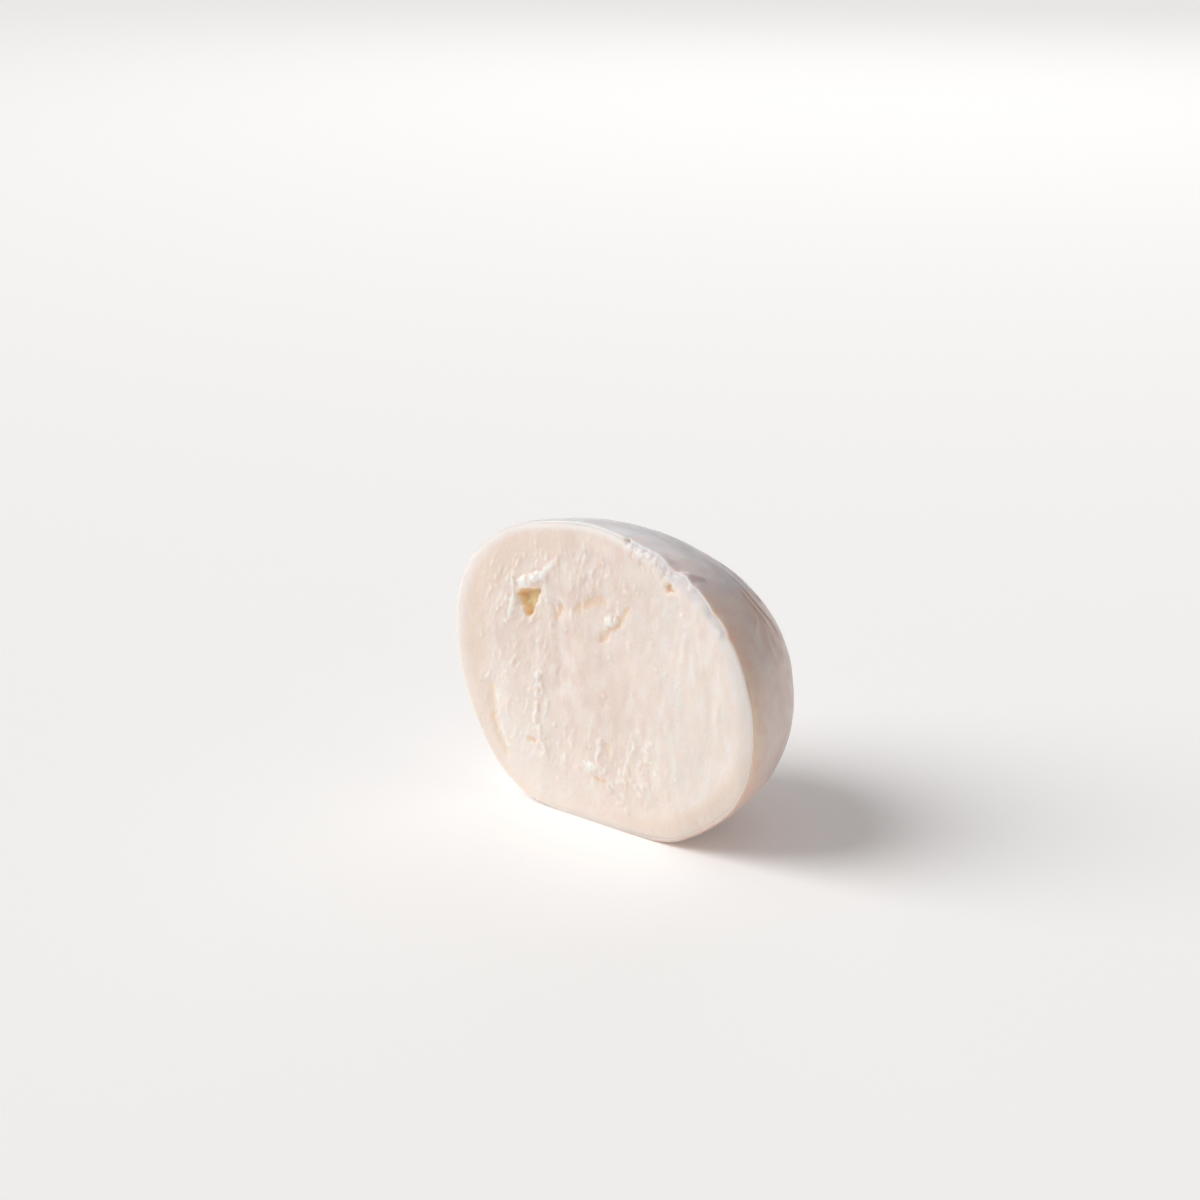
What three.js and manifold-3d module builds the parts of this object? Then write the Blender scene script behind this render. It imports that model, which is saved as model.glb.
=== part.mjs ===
// Half of a burrata. It stands on its own flattened foot, with the knife's cut upright and facing -Y.
// A pouch of smooth stretched curd holds a coarser curd filling, and the cut shows both.
// Millimetres. +X is to the right seen from in front of the cut, +Y runs into the cheese, +Z is up.
// The origin is on the table, under the middle of the half.

import * as THREE from "three";
import { mergeVertices } from "three/addons/utils/BufferGeometryUtils.js";
import Module from "manifold-3d";

const wasm = await Module();
wasm.setup();

// ---- Driving dimensions ----

const DEPTH = 40.5; // from the cut to the back
const CUT_Y = -19.6; // the plane of the cut
const CENTRE_HEIGHT = 31; // the middle of the cut above the table
// From the middle of the cut to the skin, every 22.5 degrees round from +X towards +Z
const CUT_RADII = [38.9, 37, 34.4, 32, 31.6, 32.9, 36.6, 39.5, 38.9, 37.4, 36.9, 34.2, 33.9, 34.5, 36.6, 39.5];
const FOOT_BLEND = 2; // height over which the flat foot rounds into the sides
const FOOT_SINK = 4; // how much further the underside sinks behind the cut, so that the foot reaches back
const BACK_SLIDE = 2; // how far the back's tip lies to the right of the middle of the cut
const BACK_SAG = 6; // and how far it hangs below it
const BACK_ROUNDNESS = 1.15; // 1 is an ellipse, more leaves the cut more squarely
const EDGE_ROUND = 0.7; // where the cut meets the skin

// The pouch's wall at the cut, at the same angles as CUT_RADII, then behind and underneath
const WALL = [8.5, 7.5, 6.5, 6, 6, 5.5, 7.5, 8.5, 8.6, 7.6, 5.2, 5.6, 6.5, 7, 7.6, 8.3];
const BACK_WALL = 7;
const FOOT_WALL = 5.5;
const GAP = 0.3; // between the pouch and its filling

// Relief of the cut: the knife's slow waves, the filling's swell out of the wall, and its coarse grain
const WAVE = { height: 0.25, length: 19, slant: 0.3, stretch: 1.4 };
const SWELL = { height: 0.35, width: 5 };
const GRAIN = { height: 0.12, width: 4.6, length: 9.5, wander: 1.2, bend: 2.1 };
const CRAG_FOOT = 1.6; // how much longer and wider a crag is at its foot than its crest below

// Torn curd that stands out of the cut: [x, z, length, width, rise, lean in degrees]
const FILLING_CRAGS = [
  // a broken ridge over the large hole, trailing up to the right
  [-19.3, 47.6, 4.2, 1.9, 1, 8],
  [-16.2, 49, 4.6, 2, 1.2, 24],
  [-13.1, 51, 4.2, 1.8, 0.9, 46],
  [-10.7, 53.3, 3.6, 1.6, 0.6, 60],
  // both sides of the hole
  [-22.6, 46.2, 4.4, 1.4, 0.9, 98],
  [-22.4, 42.2, 4, 1.8, 0.7, 85],
  [-13.3, 44.8, 3.8, 1.4, 0.6, 76],
  [-15.5, 40.4, 3.4, 1.4, 0.6, 58],
  // the lump inside the forked tear
  [3.8, 44.2, 3.6, 2.5, 0.8, 35],
  // upright ridges low on the left
  [-15.6, 26.4, 6.2, 1.5, 0.7, 88],
  [-16, 20.4, 5.4, 1.6, 0.7, 92],
  [-13.2, 21.2, 5.6, 1.5, 0.5, 90],
  [-14.9, 16.6, 3.6, 1.5, 0.7, 97],
  [-14.6, 11.6, 3.2, 1.7, 0.8, 15],
  // crumbs and streaks low in the middle
  [0.2, 16.2, 5.4, 1.5, 0.8, 88],
  [-1.4, 12.3, 4.2, 1.8, 1, 12],
  [8.5, 19.4, 6.4, 1.6, 0.7, 68],
  [6.9, 13.2, 5.4, 1.7, 0.7, 76],
  [13.4, 18.6, 5.2, 1.7, 0.6, 98],
  [12.4, 12.2, 4, 1.7, 0.6, 80],
  // the ledge where the filling stands over the wall, low on the left
  [-26.2, 18.6, 9, 1.8, 0.6, 103],
  [-24, 11.8, 5.4, 1.8, 0.5, 118],
];
const WALL_CRAGS = [
  // crumbs where the skin has torn away, top right
  [8.9, 59.2, 2.8, 1.9, 0.8, 5],
  [11.9, 58.7, 3, 2, 1, -12],
  [15.1, 57.5, 3.2, 2.1, 0.9, -22],
  [18.5, 56.4, 3, 1.9, 0.9, -35],
  [23, 54.2, 2, 1.8, 0.8, -45],
];

// Tears and pits in the cut: [x, z, length, width, depth, lean in degrees]
const FILLING_TEARS = [
  // the hollow round the large hole
  [-17.9, 44.2, 5.6, 4.6, 0.8, 30],
  // a curved tear and a pit beside it
  [-1.6, 46.6, 5.4, 1.6, 0.7, 24],
  [-9.6, 43.5, 2.8, 1.6, 0.6, 62],
  // the forked tear
  [1.9, 41, 4.4, 1.7, 0.9, 64],
  [6.9, 45.2, 5.2, 1.6, 0.9, 62],
  // pits between the low crags
  [-17.4, 13.8, 2.6, 1.8, 0.9, 10],
  [1.2, 9.8, 2.8, 1.6, 0.8, 5],
  [3.3, 17, 2.4, 1.7, 0.7, 80],
  [25.6, 28.9, 3.6, 2, 0.3, 85],
];
const WALL_TEARS = [
  // behind the ledge, low on the left
  [-30, 21.5, 9, 2.4, 0.4, 100],
];

// Holes too deep for relief: [x, z, length, width, depth, lean in degrees]
const FILLING_HOLES = [
  // two lobes of the large three-cornered hole
  [-17.7, 44.9, 5.8, 3.4, 4, 14],
  [-18.3, 43, 5.6, 3, 3.6, 76],
];
const WALL_HOLES = [
  // a small oval hole, and the notch where the torn skin begins
  [18.4, 53.6, 1.9, 1.3, 2.2, 75],
  [7.5, 62, 2.8, 1.5, 1.6, 86],
];

// A flap of torn skin on the shoulder: its middle, and how it lies along the skin
const FLAP = { x: 21.7, back: 2.9, z: 56.6, width: 1.8, length: 5.2, rise: 0.9, tilt: 40 };

const COLUMNS = 132; // round the half at the cut, fewer where it is narrower
const FEWEST_COLUMNS = 6;
const SKIN_RINGS = 16; // from the back's tip to the cut
const INNER_RINGS = 7; // the same on the hollow and on the filling
const WALL_RINGS = 5; // across the wall at the cut
const CUT_RINGS = 22; // from the filling's rim to its middle
const UNEVENNESS = 0.16; // of the size of a hole, or of a shred of skin
const LUMPS = 3; // how tightly that unevenness follows on itself
const SEED = 7;

// ---- The form ----

// A smooth closed curve through values spread evenly over a full turn
function smoothRound(values, angle) {
  const n = values.length;
  const place = (angle / (2 * Math.PI)) * n;
  const first = Math.floor(place);
  const [a, b, c, d] = [-1, 0, 1, 2].map((step) => values[(first + step + n) % n]);
  const t = place - first;
  const bend = (2 * a - 5 * b + 4 * c - d) * t + (3 * b - a - 3 * c + d) * t * t;
  return b + 0.5 * t * (c - a + bend);
}

// Soft cheese settles on a floor: what would lie below it is flat, and a blend rounds it upward.
function settle(height, floor) {
  const above = height - floor;
  if (above <= -FOOT_BLEND) return floor;
  if (above >= FOOT_BLEND) return height;
  return floor + (above + FOOT_BLEND) ** 2 / (4 * FOOT_BLEND);
}

// A point of the outer form, or of a form inside it. turn is 0 at the cut and a quarter turn at the back's tip.
function bodyPoint(angle, turn, inset = { side: 0, back: 0, foot: 0 }) {
  const spread = Math.cos(turn);
  const radius = (smoothRound(CUT_RADII, angle) - inset.side) * spread;
  const sink = FOOT_SINK * Math.sin(2 * turn) * Math.max(0, -Math.sin(angle)) ** 2;
  const x = radius * Math.cos(angle) + BACK_SLIDE * (1 - spread);
  const z = CENTRE_HEIGHT + radius * Math.sin(angle) - BACK_SAG * (1 - spread) - sink;
  const y = CUT_Y + (DEPTH - inset.back) * Math.sin(turn) ** BACK_ROUNDNESS;
  return new THREE.Vector3(x, y, settle(z, inset.foot));
}

// The hollow of the pouch, or with extra the filling that sits inside it
function innerInset(angle, extra = 0) {
  return {
    side: smoothRound(WALL, angle) + extra,
    back: BACK_WALL + extra,
    foot: FOOT_WALL + extra,
  };
}

// ---- The relief of the cut ----

function wave(x, z) {
  const across = Math.sin((2 * Math.PI * (x + WAVE.slant * z)) / WAVE.length);
  const up = Math.cos((2 * Math.PI * (z - WAVE.slant * x)) / (WAVE.stretch * WAVE.length));
  return 0.5 * WAVE.height * (across + up);
}

// Coarse curd lies in short upright strands that wander from side to side.
function grain(x, z) {
  const across = Math.sin((2 * Math.PI * x) / GRAIN.width + GRAIN.wander * Math.sin(z / GRAIN.bend));
  const up = Math.cos((2 * Math.PI * z) / GRAIN.length + GRAIN.wander * Math.sin(x / GRAIN.bend));
  return GRAIN.height * across * up;
}

function bump(x, z, [middleX, middleZ, length, width, rise, lean]) {
  const tilt = THREE.MathUtils.degToRad(lean);
  const [dx, dz] = [x - middleX, z - middleZ];
  const along = (dx * Math.cos(tilt) + dz * Math.sin(tilt)) / (0.5 * CRAG_FOOT * length);
  const across = (dz * Math.cos(tilt) - dx * Math.sin(tilt)) / (0.5 * CRAG_FOOT * width);
  return rise * Math.max(0, 1 - along * along - across * across) ** 2;
}

function sumOfBumps(x, z, marks) {
  return marks.reduce((sum, mark) => sum + bump(x, z, mark), 0);
}

function wallRelief(x, z) {
  return wave(x, z) + sumOfBumps(x, z, WALL_CRAGS) - sumOfBumps(x, z, WALL_TEARS);
}

// inward is how far a point of the filling lies from its rim.
function fillingRelief(x, z, inward) {
  const freed = Math.min(1, inward / SWELL.width);
  const texture = freed * (SWELL.height + grain(x, z));
  return wave(x, z) + texture + sumOfBumps(x, z, FILLING_CRAGS) - sumOfBumps(x, z, FILLING_TEARS);
}

// ---- Closed bodies ----

// A ring of points. share is its size against the rim of the cut, and sets how many points it gets.
function ring(share, pointAt) {
  const count = Math.max(FEWEST_COLUMNS, Math.round(COLUMNS * share));
  return Array.from({ length: count }, (_, column) => pointAt((2 * Math.PI * column) / count));
}

// The triangles between two rings of any number of points, or between a ring and a tip.
// Each ring is given as the index of its first point and its number of points.
function band(first, count, nextFirst, nextCount) {
  const faces = [];
  let [i, j] = [0, 0];
  while (i < count || j < nextCount) {
    const corner = first + (i % count);
    const nextCorner = nextFirst + (j % nextCount);
    if ((i + 1) / count <= (j + 1) / nextCount) {
      i++;
      if (count > 1) faces.push(corner, first + (i % count), nextCorner);
    } else {
      j++;
      if (nextCount > 1) faces.push(corner, nextFirst + (j % nextCount), nextCorner);
    }
  }
  return faces;
}

// A closed body: a tip, rings of points one behind the other, and a tip
function wrap(firstTip, rings, lastTip) {
  const rows = [[firstTip], ...rings, [lastTip]];
  const faces = [];
  let first = 0;
  for (let row = 1; row < rows.length; row++) {
    const count = rows[row - 1].length;
    faces.push(...band(first, count, first + count, rows[row].length));
    first += count;
  }
  const geometry = new THREE.BufferGeometry().setFromPoints(rows.flat());
  geometry.setIndex(faces);
  return geometry;
}

function toSolid(geometry) {
  const vertProperties = new Float32Array(geometry.getAttribute("position").array);
  const triVerts = new Uint32Array(geometry.index.array);
  return new wasm.Manifold(new wasm.Mesh({ numProp: 3, vertProperties, triVerts }));
}

function toGeometry(solid) {
  const { vertProperties, triVerts, numProp } = solid.getMesh();
  const points = [];
  for (let i = 0; i < vertProperties.length; i += numProp) {
    points.push(new THREE.Vector3(...vertProperties.subarray(i, i + 3)));
  }
  const geometry = new THREE.BufferGeometry().setFromPoints(points);
  geometry.setIndex([...triVerts]);
  geometry.computeVertexNormals();
  return geometry;
}

// Even draws from 0 to 1 that are the same in every run
function seededDraws(seed) {
  let state = seed;
  return () => {
    state = (Math.imul(state, 1664525) + 1013904223) >>> 0;
    return state / 2 ** 32;
  };
}

const draw = seededDraws(SEED);

// An uneven ellipsoid: the shape of a hole, or of a shred of skin
function unevenEllipsoid(halfX, halfY, halfZ) {
  const round = new THREE.IcosahedronGeometry(1, 2);
  round.deleteAttribute("normal");
  round.deleteAttribute("uv");
  const geometry = mergeVertices(round, 1e-3);
  const starts = [0, 1, 2].map(() => 2 * Math.PI * draw());
  const position = geometry.getAttribute("position");
  for (let i = 0; i < position.count; i++) {
    const point = new THREE.Vector3().fromBufferAttribute(position, i);
    const lumps = starts.map((start, axis) => Math.sin(LUMPS * point.getComponent(axis) + start));
    point.multiplyScalar(1 + (UNEVENNESS * (lumps[0] + lumps[1] + lumps[2])) / 3);
    position.setXYZ(i, point.x, point.y, point.z);
  }
  return geometry.scale(halfX, halfY, halfZ);
}

function withHoles(solid, holes) {
  return holes.reduce((whole, [x, z, length, width, depth, lean]) => {
    const hole = unevenEllipsoid(length / 2, depth, width / 2);
    hole.rotateY(-THREE.MathUtils.degToRad(lean)).translate(x, CUT_Y, z);
    return whole.subtract(toSolid(hole));
  }, solid);
}

// ---- The pieces ----

function skinRings() {
  const rings = [];
  for (let i = 1; i < SKIN_RINGS; i++) {
    const turn = (Math.PI / 2) * (1 - i / SKIN_RINGS);
    rings.push(ring(Math.cos(turn), (angle) => bodyPoint(angle, turn)));
  }
  rings.push(ring(1, (angle) => bodyPoint(angle, 0).setY(CUT_Y + EDGE_ROUND)));
  return rings;
}

// The flat of the wall at the cut, from just inside the skin to the hollow
function wallRings() {
  const rings = [];
  for (let i = 0; i <= WALL_RINGS; i++) {
    rings.push(
      ring(1, (angle) => {
        const hollow = innerInset(angle);
        const start = EDGE_ROUND / hollow.side;
        const share = start + ((1 - start) * i) / WALL_RINGS;
        const point = bodyPoint(angle, 0).lerp(bodyPoint(angle, 0, hollow), share);
        return point.setY(CUT_Y - wallRelief(point.x, point.z));
      }),
    );
  }
  return rings;
}

function innerRings(extra) {
  const rings = [];
  for (let i = 1; i < INNER_RINGS; i++) {
    const turn = (Math.PI / 2) * (i / INNER_RINGS);
    rings.push(ring(Math.cos(turn), (angle) => bodyPoint(angle, turn, innerInset(angle, extra))));
  }
  return rings;
}

// The filling's face, from its rim to its middle
function faceRings(middle) {
  const rings = [];
  for (let i = 0; i < CUT_RINGS; i++) {
    const share = i / CUT_RINGS;
    rings.push(
      ring(1 - share, (angle) => {
        const rim = bodyPoint(angle, 0, innerInset(angle, GAP));
        const inward = rim.distanceTo(middle) * share;
        const point = rim.lerp(middle, share);
        return point.setY(CUT_Y - fillingRelief(point.x, point.z, inward));
      }),
    );
  }
  return rings;
}

function makePouch() {
  const outerTip = bodyPoint(0, Math.PI / 2);
  const hollowTip = bodyPoint(0, Math.PI / 2, innerInset(0));
  const shell = toSolid(wrap(outerTip, [...skinRings(), ...wallRings(), ...innerRings(0)], hollowTip));
  const flap = unevenEllipsoid(FLAP.width / 2, FLAP.length / 2, FLAP.rise / 2);
  flap.rotateY(THREE.MathUtils.degToRad(FLAP.tilt)).translate(FLAP.x, CUT_Y + FLAP.back, FLAP.z);
  return withHoles(shell.add(toSolid(flap)), WALL_HOLES);
}

function makeFilling() {
  const tip = bodyPoint(0, Math.PI / 2, innerInset(0, GAP));
  const middle = new THREE.Vector3(0, CUT_Y, CENTRE_HEIGHT);
  const rings = [...innerRings(GAP).reverse(), ...faceRings(middle)];
  middle.setY(CUT_Y - fillingRelief(middle.x, middle.z, Infinity));
  return withHoles(toSolid(wrap(tip, rings, middle)), FILLING_HOLES);
}

function piece(name, solid, color, roughness) {
  const material = new THREE.MeshStandardMaterial({ color, roughness, metalness: 0 });
  const mesh = new THREE.Mesh(toGeometry(solid), material);
  mesh.name = name;
  return mesh;
}

const burrataHalf = new THREE.Group();
burrataHalf.add(piece("pouch", makePouch(), "#e6dfd9", 0.4));
burrataHalf.add(piece("filling", makeFilling(), "#e8dbd0", 0.55));

export default burrataHalf;
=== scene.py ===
"""The looks of half a burrata, cut upright: moist curd in front, a wet stretched skin round the back.

Lengths are millimetres until a mesh, a lamp or the camera is made; MM turns them into metres.
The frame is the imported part's: +X right seen from in front of the cut, +Y into the cheese, +Z up.
A list of 16 values runs round the cut from +X, anticlockwise as the cut is seen.
A kind of noise has a size, its wavelength along each axis, and octaves and a start in the noise.
"""

import math

import bpy
import numpy as np
from mathutils import Matrix, Vector, noise

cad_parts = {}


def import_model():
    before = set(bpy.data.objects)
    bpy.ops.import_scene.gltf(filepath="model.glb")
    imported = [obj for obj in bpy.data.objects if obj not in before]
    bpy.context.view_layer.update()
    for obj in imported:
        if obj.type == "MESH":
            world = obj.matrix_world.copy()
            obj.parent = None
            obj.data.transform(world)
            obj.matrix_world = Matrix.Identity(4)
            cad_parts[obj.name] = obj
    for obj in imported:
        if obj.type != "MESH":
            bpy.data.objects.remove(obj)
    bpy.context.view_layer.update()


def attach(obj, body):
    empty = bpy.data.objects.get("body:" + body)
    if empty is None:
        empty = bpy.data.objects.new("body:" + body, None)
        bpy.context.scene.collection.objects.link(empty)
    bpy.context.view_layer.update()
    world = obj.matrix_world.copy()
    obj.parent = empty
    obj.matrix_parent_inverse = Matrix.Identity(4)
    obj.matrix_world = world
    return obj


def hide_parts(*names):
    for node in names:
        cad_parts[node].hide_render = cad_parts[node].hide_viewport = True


MM = 0.001
TAU = 2 * math.pi
# Noise: how smooth it is, and how much finer each octave is than the last
NOISE_SMOOTHNESS = 0.8
NOISE_STEP = 2.1

# ---- The part's own dimensions, as its source has them ----

DEPTH = 40.5
CUT_Y = -19.6
CENTRE_HEIGHT = 31
CUT_RADII = [38.9, 37, 34.4, 32, 31.6, 32.9, 36.6, 39.5, 38.9, 37.4, 36.9, 34.2, 33.9, 34.5, 36.6, 39.5]
FOOT_BLEND = 2
FOOT_SINK = 4
BACK_SLIDE = 2
BACK_SAG = 6
BACK_ROUNDNESS = 1.15
EDGE_ROUND = 0.7
WALL = [8.5, 7.5, 6.5, 6, 6, 5.5, 7.5, 8.5, 8.6, 7.6, 5.2, 5.6, 6.5, 7, 7.6, 8.3]

# ---- Relief of the cut ----

# The knife's slow waves, and the filling's swell out of the wall
WAVE = {"height": 0.25, "length": 19, "slant": 0.3, "stretch": 1.4}
SWELL = {"height": 0.3, "width": 5}

# Torn curd that stands out of the cut: x, z, length, width, rise, lean in degrees
CRAGS = [
    # a broken ridge over the large hole, trailing up to the right, and a patch beside the hole
    (-19, 47.7, 4, 2, 0.65, 10),
    (-16.2, 49, 4, 2, 0.8, 26),
    (-13.3, 51, 4, 1.8, 0.55, 48),
    (-10.8, 53.4, 3.6, 1.6, 0.35, 62),
    (-22.2, 42.6, 4, 1.8, 0.4, 85),
    # the lump inside the forked tear
    (3.9, 44.3, 3.6, 2.6, 0.5, 40),
    # low on the left and low in the middle
    (-14.4, 11.6, 3.2, 1.5, 0.4, 15),
    (-1.4, 12.3, 3.6, 1.5, 0.55, 12),
    # where the skin has torn away, top right
    (11.9, 58.9, 3.4, 1.8, 0.2, -12),
    (15.3, 57.7, 3.2, 1.9, 0.25, -22),
    (18.7, 56.4, 3, 1.7, 0.2, -35),
    (23.4, 54.8, 1.5, 1.2, 0.5, -45),
]
CRAG_FOOT = 1.3  # how much longer and wider a crag is at its foot
CRAG_BULGE = 0.6  # how far its sides bulge, where 0 makes a cone

# Threads of curd: width, rise and the points each runs through, as x and z
THREADS = [
    # round the large hole
    (1, 0.35, [(-14.6, 46.8), (-16, 43), (-17.7, 39.4)]),
    (0.9, 0.45, [(-22.4, 48), (-22, 45), (-21.6, 42.6)]),
    # low on the left
    (2, 0.4, [(-15.2, 29.5), (-16, 24)]),
    (2, 0.45, [(-15.9, 22.4), (-16.3, 18.4)]),
    (1.6, 0.3, [(-13.2, 23.7), (-13.6, 19)]),
    (1.6, 0.4, [(-15.3, 17.4), (-14.7, 14.4), (-13.8, 12.9)]),
    # low in the middle
    (2.2, 0.4, [(1, 18.2), (0.3, 14)]),
    (3, 0.25, [(9.5, 21.4), (8.4, 16.6)]),
    (3, 0.25, [(7.2, 15), (6.2, 11.2)]),
    (3, 0.2, [(11.6, 25.5), (11.2, 22.6)]),
    (3, 0.25, [(13.7, 20.9), (12.8, 17.2)]),
    (3, 0.2, [(12.6, 12.8), (12, 9.4)]),
]

# Creases, with a depth in place of the rise
CREASES = [
    # a curved tear, the forked tear below and right of it, and a pit on its left
    (3.6, 0.3, [(-4.6, 44.8), (-1.4, 47), (1.6, 47.8)]),
    (2.4, 0.34, [(1.3, 39.5), (2.7, 41.5)]),
    (2.2, 0.24, [(3.3, 42.2), (4.9, 42.9)]),
    (2.6, 0.28, [(5.5, 43.6), (6.8, 45.1), (8, 47.4)]),
    (3, 0.35, [(-10.2, 42.2), (-9.2, 44.6)]),
    # pits between the low crags
    (2.2, 0.45, [(-17.9, 13.9), (-16.6, 14)]),
    (2.2, 0.32, [(0.2, 10.2), (2, 10)]),
    (2.4, 0.2, [(3.1, 16), (3, 17.8)]),
    # behind the ledge, low on the left
    (3, 0.25, [(-28.9, 23), (-28.4, 17.4), (-27.3, 13.4), (-25.2, 9.5)]),
]

# Ledges: the rise of their right side, and their points from the top down
LEDGES = [
    (0.45, [(-28.2, 23), (-27.6, 17.4), (-26.4, 13.8), (-24.2, 9.5)]),
    (-0.25, [(-13, 46), (-12.2, 38), (-11.2, 26)]),
]
LEDGE_SIZE = {"edge": 1.8, "reach": 8, "ends": 2}

# The large three-cornered hole: the corners of its upper and lower part in x and z, anticlockwise
EYE = [
    [(-20.6, 45.3), (-20.9, 44), (-19.8, 42.1), (-16.3, 43.3), (-14.9, 45.5), (-14.9, 47.1)],
    [(-19.9, 44.2), (-18.9, 40.2), (-17.7, 40), (-16.7, 41.7), (-15.6, 45.2)],
]
EYE_DEPTH = 2
EYE_WALL = {"run": 1.2, "outside": 0.35}  # outside is the share of the run that lies outside the corners
# It has the least share of its depth at its foot, and all of it a height further up. Its floor is uneven.
EYE_FLOOR = {"foot": 40, "height": 6, "least": 0.75, "uneven": 0.06, "size": 2, "octaves": 1, "start": 7}

# Small holes: x, z, length, width, depth, lean
SMALL_HOLES = [(18.4, 53.7, 2.3, 2.2, 0.6, 100), (7.5, 62, 3, 1.8, 1, 86)]
SMALL_HOLE_WALL = {"slope": 1.6, "foot": 1.15}  # it begins at foot, in half lengths and widths

# Zones of scattered flakes: the middle's x and z, the zone's width and height, then the flakes'
# number, length, width and rise
FLAKES = [
    (-22, 31, 20, 40, 180, 3, 1.1, 0.17),
    (-14, 48, 26, 18, 110, 2.6, 1.1, 0.17),
    (3, 34, 26, 40, 40, 6, 2.4, 0.09),
    (4, 14, 34, 14, 70, 2.6, 1.3, 0.15),
    (25, 32, 20, 36, 40, 8, 2.6, 0.1),
    (4, 55, 34, 10, 90, 2.2, 1.1, 0.14),
]
FLAKE_LEAN = {"left": 66, "right": 88, "across": 60, "spread": 9}
FLAKE_LENGTHS = (0.6, 1.4)  # least and most, of the zone's length
FLAKE_RISES = (0.4, 1.1)  # least and most, of the zone's rise
FLAKE_SIDES = {"left": 0.6, "right": 1.6}  # how far each side runs, in half widths

# Zones of scattered crumbs: the middle's x and z, the zone's length, width and lean, then the crumbs'
# number and size
CRUMBS = [
    (14, 58, 13.5, 4.4, -23, 130, 0.52),
    (-15.8, 49, 12, 3, 34, 26, 0.5),
    (-22.2, 44.6, 8, 2, 94, 14, 0.5),
    (4, 44.6, 5, 1.6, 40, 18, 0.5),
    (-1, 12.2, 6, 3, 12, 24, 0.55),
    (9.5, 12.5, 15, 8, 50, 46, 0.5),
    (-15.4, 21, 18, 3, 90, 20, 0.5),
    (0, 33, 62, 50, 0, 60, 0.45),
]
CRUMB_SIZES = (0.5, 1.6)  # least and most, of the zone's size
CRUMB_RISE = 0.28  # of a crumb's size
CRUMB_FOOT = 3  # how soon it stands steep: the more, the narrower its soft foot
SEED = 5

# Soft unevenness of the curd, leaning as the flakes do, in patches that weaken to the right
CURD_LEAN = 75
CURD = {"height": 0.08, "size": (1.5, 3.4, 1), "octaves": 2, "start": 3}
LUMPS = {"height": 0.14, "size": (5, 7, 1), "octaves": 1, "start": 83}
GRAIN = {"height": 0.015, "size": 0.8, "octaves": 1, "start": 29}
PATCHES = {"size": 9, "octaves": 2, "start": 23}
PATCH_STRENGTH = {"middle": 0.6, "fade": 80, "least": 0.3, "most": 1.3}
RIM_SHARE = 0.25  # of the unevenness and the flakes that is left at the rim

# Fine fibres break up the crags, which keep a whole part of their rise
FIBRES = {"size": (0.8, 2.4, 1), "octaves": 1, "start": 71}
CRAG_SHARES = {"whole": 0.45, "fibrous": 0.55}

# How far the edges of crags and holes stray, in x and in z
RAGGED = {"reach": 0.5, "size": 1.7, "octaves": 2}
RAGGED_X = {**RAGGED, "start": 11}
RAGGED_Z = {**RAGGED, "start": 47}

# Widths over which the rim is worn ragged, and over which it rolls off smoothly
WORN = [0, 0.6, 4, 2, 0.4, 0, 0, 0, 0, 0, 0, 0, 0, 0, 0, 0]
WORN_LEAST = 0.5  # width below which it isn't worn
WORN_DEPTH = 0.35
WORN_STRAY = {"share": 0.3, "size": 3.4, "octaves": 2, "start": 61}
ROLL = [3, 2.6, 2, 1.6, 1.6, 1.2, 0, 0, 0, 0, 0, 1, 2.4, 3.8, 4.6, 4]
ROLL_LEAST = 0.2  # its least width
ROLL_SLOPE = 0.22  # depth at the rim, of the width

# ---- Where the cut has its tints and its painted shade ----

AMBER = [0.1, 0, 0, 0.1, 0.3, 0.6, 0.9, 0.95, 0.95, 0.6, 0.1, 0, 0.2, 0.8, 1.1, 0.9]  # strength in the wall
AMBER_REACH = [5, 5, 5, 6, 7, 9, 12, 12, 10.5, 9, 6, 5, 5, 6, 6.5, 6]  # distance from the rim where it ends
AMBER_EDGES = {"clear": 0.8, "rise": 3.5, "fall": 0.5}  # fall is a share of the reach
RIM = [3.4, 4, 2.6, 2.4, 1.6, 1.6, 2, 3.4, 3.4, 3, 3, 3, 2, 1.6, 1.6, 2.4]  # width of the paler rim
# How white torn curd is for each millimetre that it stands out
TORN_TINT = {"crag": 1.8, "crumb": 1.6, "flake": 2.8}
CREASE_SHADE_DEPTH = 0.8  # depth at which a crease would have its full amber painted shade
PIT_SHADE_EDGES = {"fade": 2, "clear": 0.8}  # clear is a share of the fade that the painted shade of pits keeps off the rim

# ---- Skin ----

SKIN_SWELLS = {"height": 0.18, "size": 9, "octaves": 2, "start": 5}
SKIN_PUCKERS = {"height": 0.05, "size": 2.2, "octaves": 1, "start": 17}
SKIN_STREAKS = {"height": 0.03, "length": 8, "width": 2, "size": 1, "octaves": 1, "start": 31}
FILM_STREAKS = {**SKIN_STREAKS, "octaves": 2}
ROUND = 36  # radius at which angles round the skin become lengths
LOWEST_FOLDS = 14  # height below which the stretched skin smooths out
FLAT_FOOT = 0.02  # of that height, over which it is quite smooth
SKIN_START = 1.5  # distance from the rounded edge over which the skin's relief begins

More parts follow.
